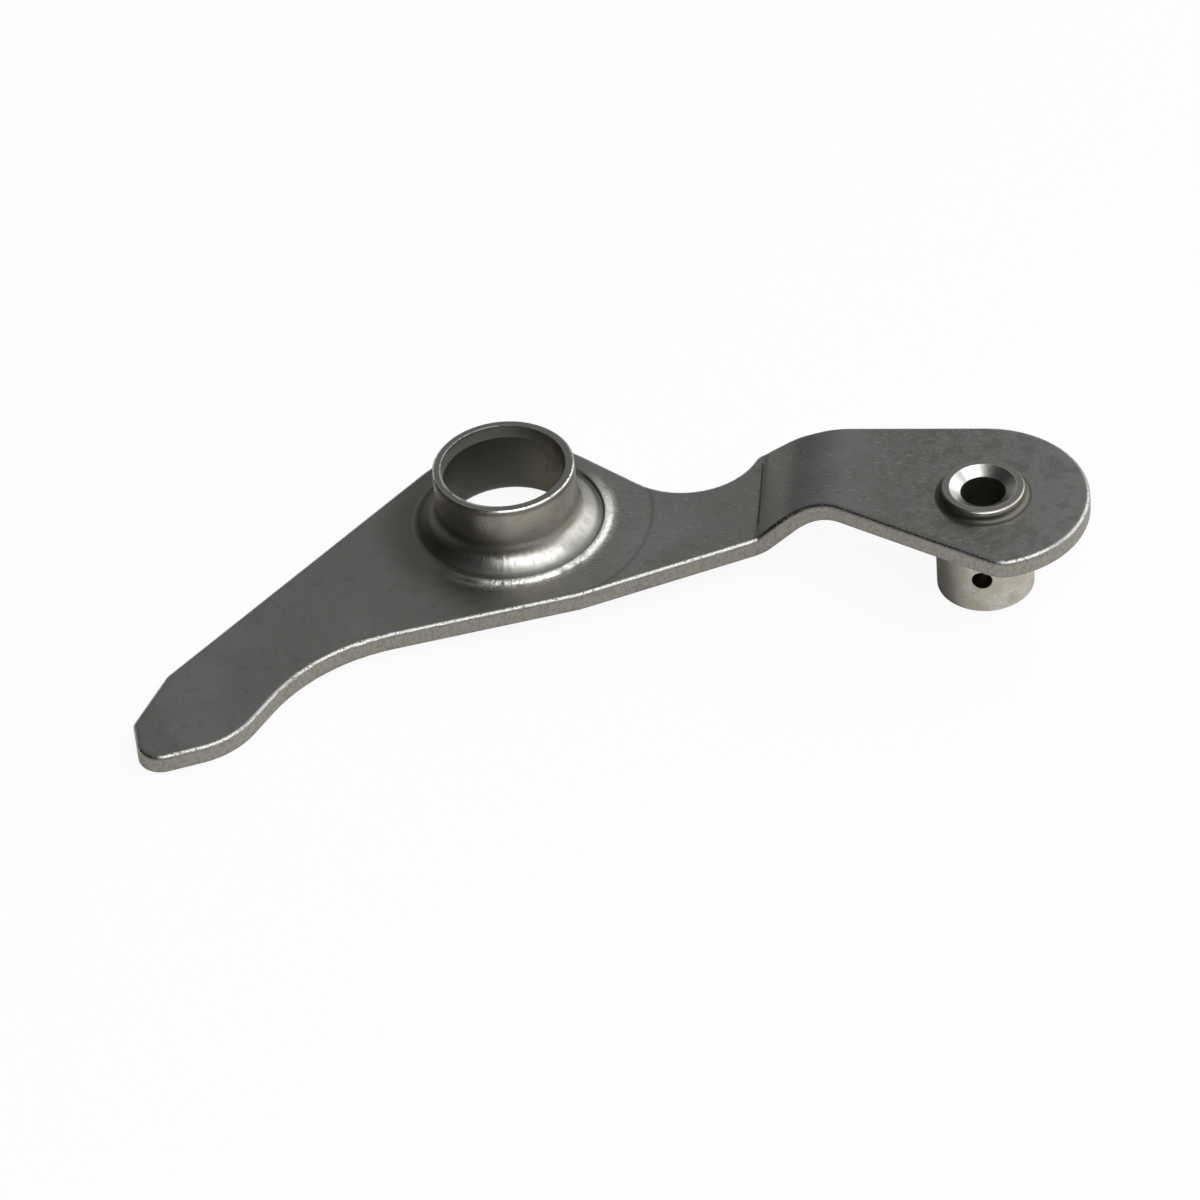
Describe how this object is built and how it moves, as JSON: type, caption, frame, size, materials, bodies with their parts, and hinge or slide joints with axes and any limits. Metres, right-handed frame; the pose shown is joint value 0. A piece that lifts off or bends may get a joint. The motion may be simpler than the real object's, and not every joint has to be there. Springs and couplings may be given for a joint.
{
  "type": "chain tensioner arm",
  "caption": "Joggled sheet-steel lever with a drawn pivot collar near its middle and a hollow turned spindle for a roller brazed through its raised end.",
  "frame": {"origin": "on the pivot bore's axis, level with the blank's upper face round the collar", "axes": "+Z along the pivot bore towards the collar's rim, +X from the pivot to the spindle"},
  "size_m": [0.1328, 0.0702, 0.0203],
  "materials": {
    "pressed_steel": "dark oiled mill finish, bright on the rolled edges",
    "turned_steel": "fine turned, slightly stained by brazing"
  },
  "bodies": {
    "root": {"arm_plate": "pressed_steel", "roller_spindle": "turned_steel"}
  },
  "joints": []
}
